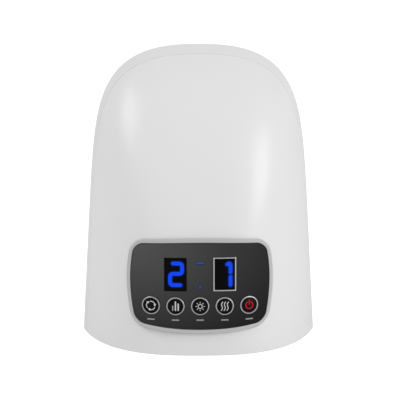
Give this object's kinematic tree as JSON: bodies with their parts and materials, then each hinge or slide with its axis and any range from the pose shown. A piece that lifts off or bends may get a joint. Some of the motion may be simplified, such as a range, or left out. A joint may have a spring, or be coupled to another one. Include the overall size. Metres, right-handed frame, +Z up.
{
  "type": "heated knee massager",
  "caption": "Rounded white half-shell hood on a wide open base, with a dark wrap-round control panel, two digit windows, round keys, and a padded knee hollow with squeezing side cushions.",
  "frame": {"origin": "middle of the bounding box's bottom face, on the surface that the hood stands on", "axes": "+Z up to the crown of the hood, -Y the way the control panel looks, +X to the right as seen from the front"},
  "size_m": [0.184, 0.0889, 0.2286],
  "materials": {
    "bag_film": "matt film",
    "bezel_grey": "satin light grey",
    "board_green": "solder mask",
    "cell_wrap": "shrink wrap",
    "cushion_fabric": "knitted, quilted",
    "dark_plastic": "black, moulded",
    "display_black": "black epoxy face",
    "film_amber": "polyimide film",
    "hose_clear": "milky silicone",
    "indicator_blue": "tinted light guide",
    "key_black": "black, polished",
    "lamp_red": "red, polished",
    "lead_black": "matt sleeve",
    "liner_fabric": "knitted, flat",
    "pad_silicone": "matt silicone",
    "rubber_grey": "matt",
    "silver": "plated, bright",
    "smoked_lens": "smoked polycarbonate, polished",
    "steel": "plated steel",
    "white_gloss": "glossy white ABS",
    "white_satin": "satin white ABS"
  },
  "bodies": {
    "housing": {"air_manifold": "white_satin", "base_cover": "white_satin", "base_screw_1": "steel", "base_screw_2": "steel", "battery_cell_lower": "cell_wrap", "battery_cell_upper": "cell_wrap", "battery_holder": "dark_plastic", "board_leads": "lead_black", "board_screw_1": "steel", "board_screw_2": "steel", "board_screw_3": "steel", "board_screw_4": "steel", "charging_socket": "steel", "control_board": "board_green", "control_chip": "dark_plastic", "display_board": "board_green", "display_frame": "silver", "exhaust_valve": "steel", "front_cover": "white_gloss", "front_pad": "pad_silicone", "heating_film": "film_amber", "indicator_guide": "indicator_blue", "key_mat": "rubber_grey", "knee_liner": "liner_fabric", "left_air_bag": "bag_film", "left_air_hose": "hose_clear", "left_digit_display": "display_black", "left_rubber_foot": "rubber_grey", "light_board": "board_green", "light_lenses": "lamp_red", "panel_bezel": "bezel_grey", "panel_lens": "smoked_lens", "power_capacitor": "dark_plastic", "pump_bracket": "dark_plastic", "pump_head": "dark_plastic", "pump_motor": "steel", "rear_cover": "white_satin", "rear_screw_1": "steel", "rear_screw_2": "steel", "rear_screw_3": "steel", "rear_screw_4": "steel", "right_air_bag": "bag_film", "right_air_hose": "hose_clear", "right_digit_display": "display_black", "right_rubber_foot": "rubber_grey", "ring_trim": "silver", "temperature_sensor": "dark_plastic", "vibration_bracket": "dark_plastic", "vibration_motor": "steel"},
    "mode_key": {"mode_button": "key_black"},
    "intensity_key": {"intensity_button": "key_black"},
    "light_key": {"light_button": "key_black"},
    "heat_key": {"heat_button": "key_black"},
    "power_key": {"power_button": "key_black"},
    "left_pad": {"left_cushion": "cushion_fabric"},
    "right_pad": {"right_cushion": "cushion_fabric"},
    "valve_stem": {"valve_plunger": "steel"},
    "pump_rotor": {"pump_shaft": "steel"},
    "vibration_rotor": {"vibration_weight": "steel"}
  },
  "joints": [
    {"name": "mode_press", "type": "slide", "parent": "housing", "child": "mode_key", "axis": [0, 0.9981, -0.061], "range_m": [0, 0.0008], "stiffness_N_per_m": 1500, "springref_m": -0.0004, "deforming": ["key_mat"]},
    {"name": "intensity_press", "type": "slide", "parent": "housing", "child": "intensity_key", "axis": [0, 0.9981, -0.061], "range_m": [0, 0.0008], "stiffness_N_per_m": 1500, "springref_m": -0.0004, "deforming": ["key_mat"]},
    {"name": "light_press", "type": "slide", "parent": "housing", "child": "light_key", "axis": [0, 0.9981, -0.061], "range_m": [0, 0.0008], "stiffness_N_per_m": 1500, "springref_m": -0.0004, "deforming": ["key_mat"]},
    {"name": "heat_press", "type": "slide", "parent": "housing", "child": "heat_key", "axis": [0, 0.9981, -0.061], "range_m": [0, 0.0008], "stiffness_N_per_m": 1500, "springref_m": -0.0004, "deforming": ["key_mat"]},
    {"name": "power_press", "type": "slide", "parent": "housing", "child": "power_key", "axis": [0, 0.9981, -0.061], "range_m": [0, 0.0008], "stiffness_N_per_m": 1500, "springref_m": -0.0004, "deforming": ["key_mat"]},
    {"name": "left_cushion_squeeze", "type": "slide", "parent": "housing", "child": "left_pad", "axis": [1, 0, 0], "range_m": [0, 0.01], "stiffness_N_per_m": 200, "springref_m": -0.002, "deforming": ["left_air_bag"]},
    {"name": "right_cushion_squeeze", "type": "slide", "parent": "housing", "child": "right_pad", "axis": [-1, 0, 0], "range_m": [0, 0.01], "stiffness_N_per_m": 200, "springref_m": -0.002, "deforming": ["right_air_bag"]},
    {"name": "exhaust_valve_open", "type": "slide", "parent": "housing", "child": "valve_stem", "axis": [0, 0, -1], "range_m": [0, 0.0015], "stiffness_N_per_m": 100, "springref_m": -0.0005},
    {"name": "pump_shaft_turn", "type": "hinge", "parent": "housing", "child": "pump_rotor", "pos_m": [0, -0.00212, 0.1491], "axis": [1, 0, 0], "continuous": true},
    {"name": "vibration_weight_turn", "type": "hinge", "parent": "housing", "child": "vibration_rotor", "pos_m": [0, -0.01438, 0.11041], "axis": [1, 0, 0], "continuous": true}
  ],
  "couplings": [
    {"joint": "right_cushion_squeeze", "follows": "left_cushion_squeeze", "ratio": 1}
  ]
}
